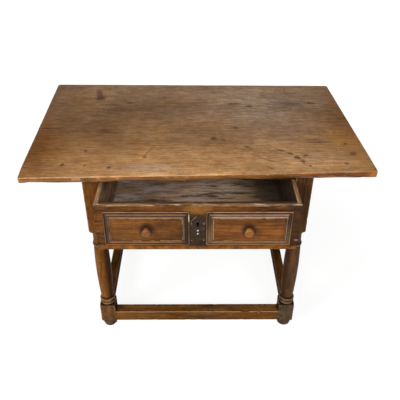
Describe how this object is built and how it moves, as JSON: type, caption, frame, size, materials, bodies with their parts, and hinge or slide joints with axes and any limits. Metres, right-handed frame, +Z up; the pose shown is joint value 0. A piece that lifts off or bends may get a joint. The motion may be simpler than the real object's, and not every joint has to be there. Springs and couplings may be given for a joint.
{
  "type": "tavern table",
  "caption": "Old wooden tavern table with a wide overhanging plank top, turned baluster legs joined by box stretchers, and a deep lockable drawer with raised moulded panels and turned knobs.",
  "frame": {"origin": "on the floor, under the middle of the table's bounding box with the drawer pulled out as stored", "axes": "+X to the right of someone facing the drawer, along the top's length; +Y away from the drawer's front towards the back; +Z up"},
  "size_m": [1.2244, 0.8949, 0.78],
  "materials": {
    "top_wood": "worn wax, satin",
    "frame_wood": "old wax, satin",
    "inner_wood": "bare, dusty",
    "drawer_front_wood": "old wax, satin",
    "panel_wood": "old wax, satin",
    "moulding_wood": "old wax, satin",
    "drawer_box_wood": "bare, dusty",
    "knob_wood": "polished by hands",
    "peg_wood": "old wax, satin",
    "iron": "dark, forged"
  },
  "bodies": {
    "table_frame": {"apron_left": "frame_wood", "apron_rear": "frame_wood", "apron_right": "frame_wood", "drawer_guide_left": "inner_wood", "drawer_guide_right": "inner_wood", "drawer_kicker_left": "inner_wood", "drawer_kicker_right": "inner_wood", "drawer_runner_left": "inner_wood", "drawer_runner_right": "inner_wood", "front_lower_rail": "frame_wood", "front_top_rail": "frame_wood", "leg_front_left": "frame_wood", "leg_front_right": "frame_wood", "leg_rear_left": "frame_wood", "leg_rear_right": "frame_wood", "stretcher_front": "frame_wood", "stretcher_left": "frame_wood", "stretcher_pegs": "peg_wood", "stretcher_rear": "frame_wood", "stretcher_right": "frame_wood", "top_board_front": "top_wood", "top_board_rear": "top_wood", "top_pegs": "peg_wood", "top_tongue": "inner_wood", "upper_frame_pegs": "peg_wood"},
    "drawer": {"drawer_back": "drawer_box_wood", "drawer_bottom_front": "drawer_box_wood", "drawer_bottom_middle": "drawer_box_wood", "drawer_bottom_nails": "iron", "drawer_bottom_rear": "drawer_box_wood", "drawer_front": "drawer_front_wood", "drawer_side_left": "drawer_box_wood", "drawer_side_nails": "iron", "drawer_side_right": "drawer_box_wood", "escutcheon_nails": "iron", "escutcheon_plate": "iron", "knob_left": "knob_wood", "knob_right": "knob_wood", "lock_cap": "iron", "lock_nails": "iron", "lock_plate": "iron", "lock_spring": "iron", "moulding_left_bottom": "moulding_wood", "moulding_left_left_end": "moulding_wood", "moulding_left_right_end": "moulding_wood", "moulding_left_top": "moulding_wood", "moulding_right_bottom": "moulding_wood", "moulding_right_left_end": "moulding_wood", "moulding_right_right_end": "moulding_wood", "moulding_right_top": "moulding_wood", "panel_field_left": "panel_wood", "panel_field_right": "panel_wood"},
    "lock_bolt": {"lock_bolt": "iron"}
  },
  "joints": [
    {"name": "drawer_slide", "type": "slide", "parent": "table_frame", "child": "drawer", "axis": [0, -1, 0], "range_m": [-0.149, 0.26]},
    {"name": "lock_bolt_slide", "type": "slide", "parent": "drawer", "child": "lock_bolt", "axis": [0, 0, 1], "range_m": [0, 0.009]}
  ]
}
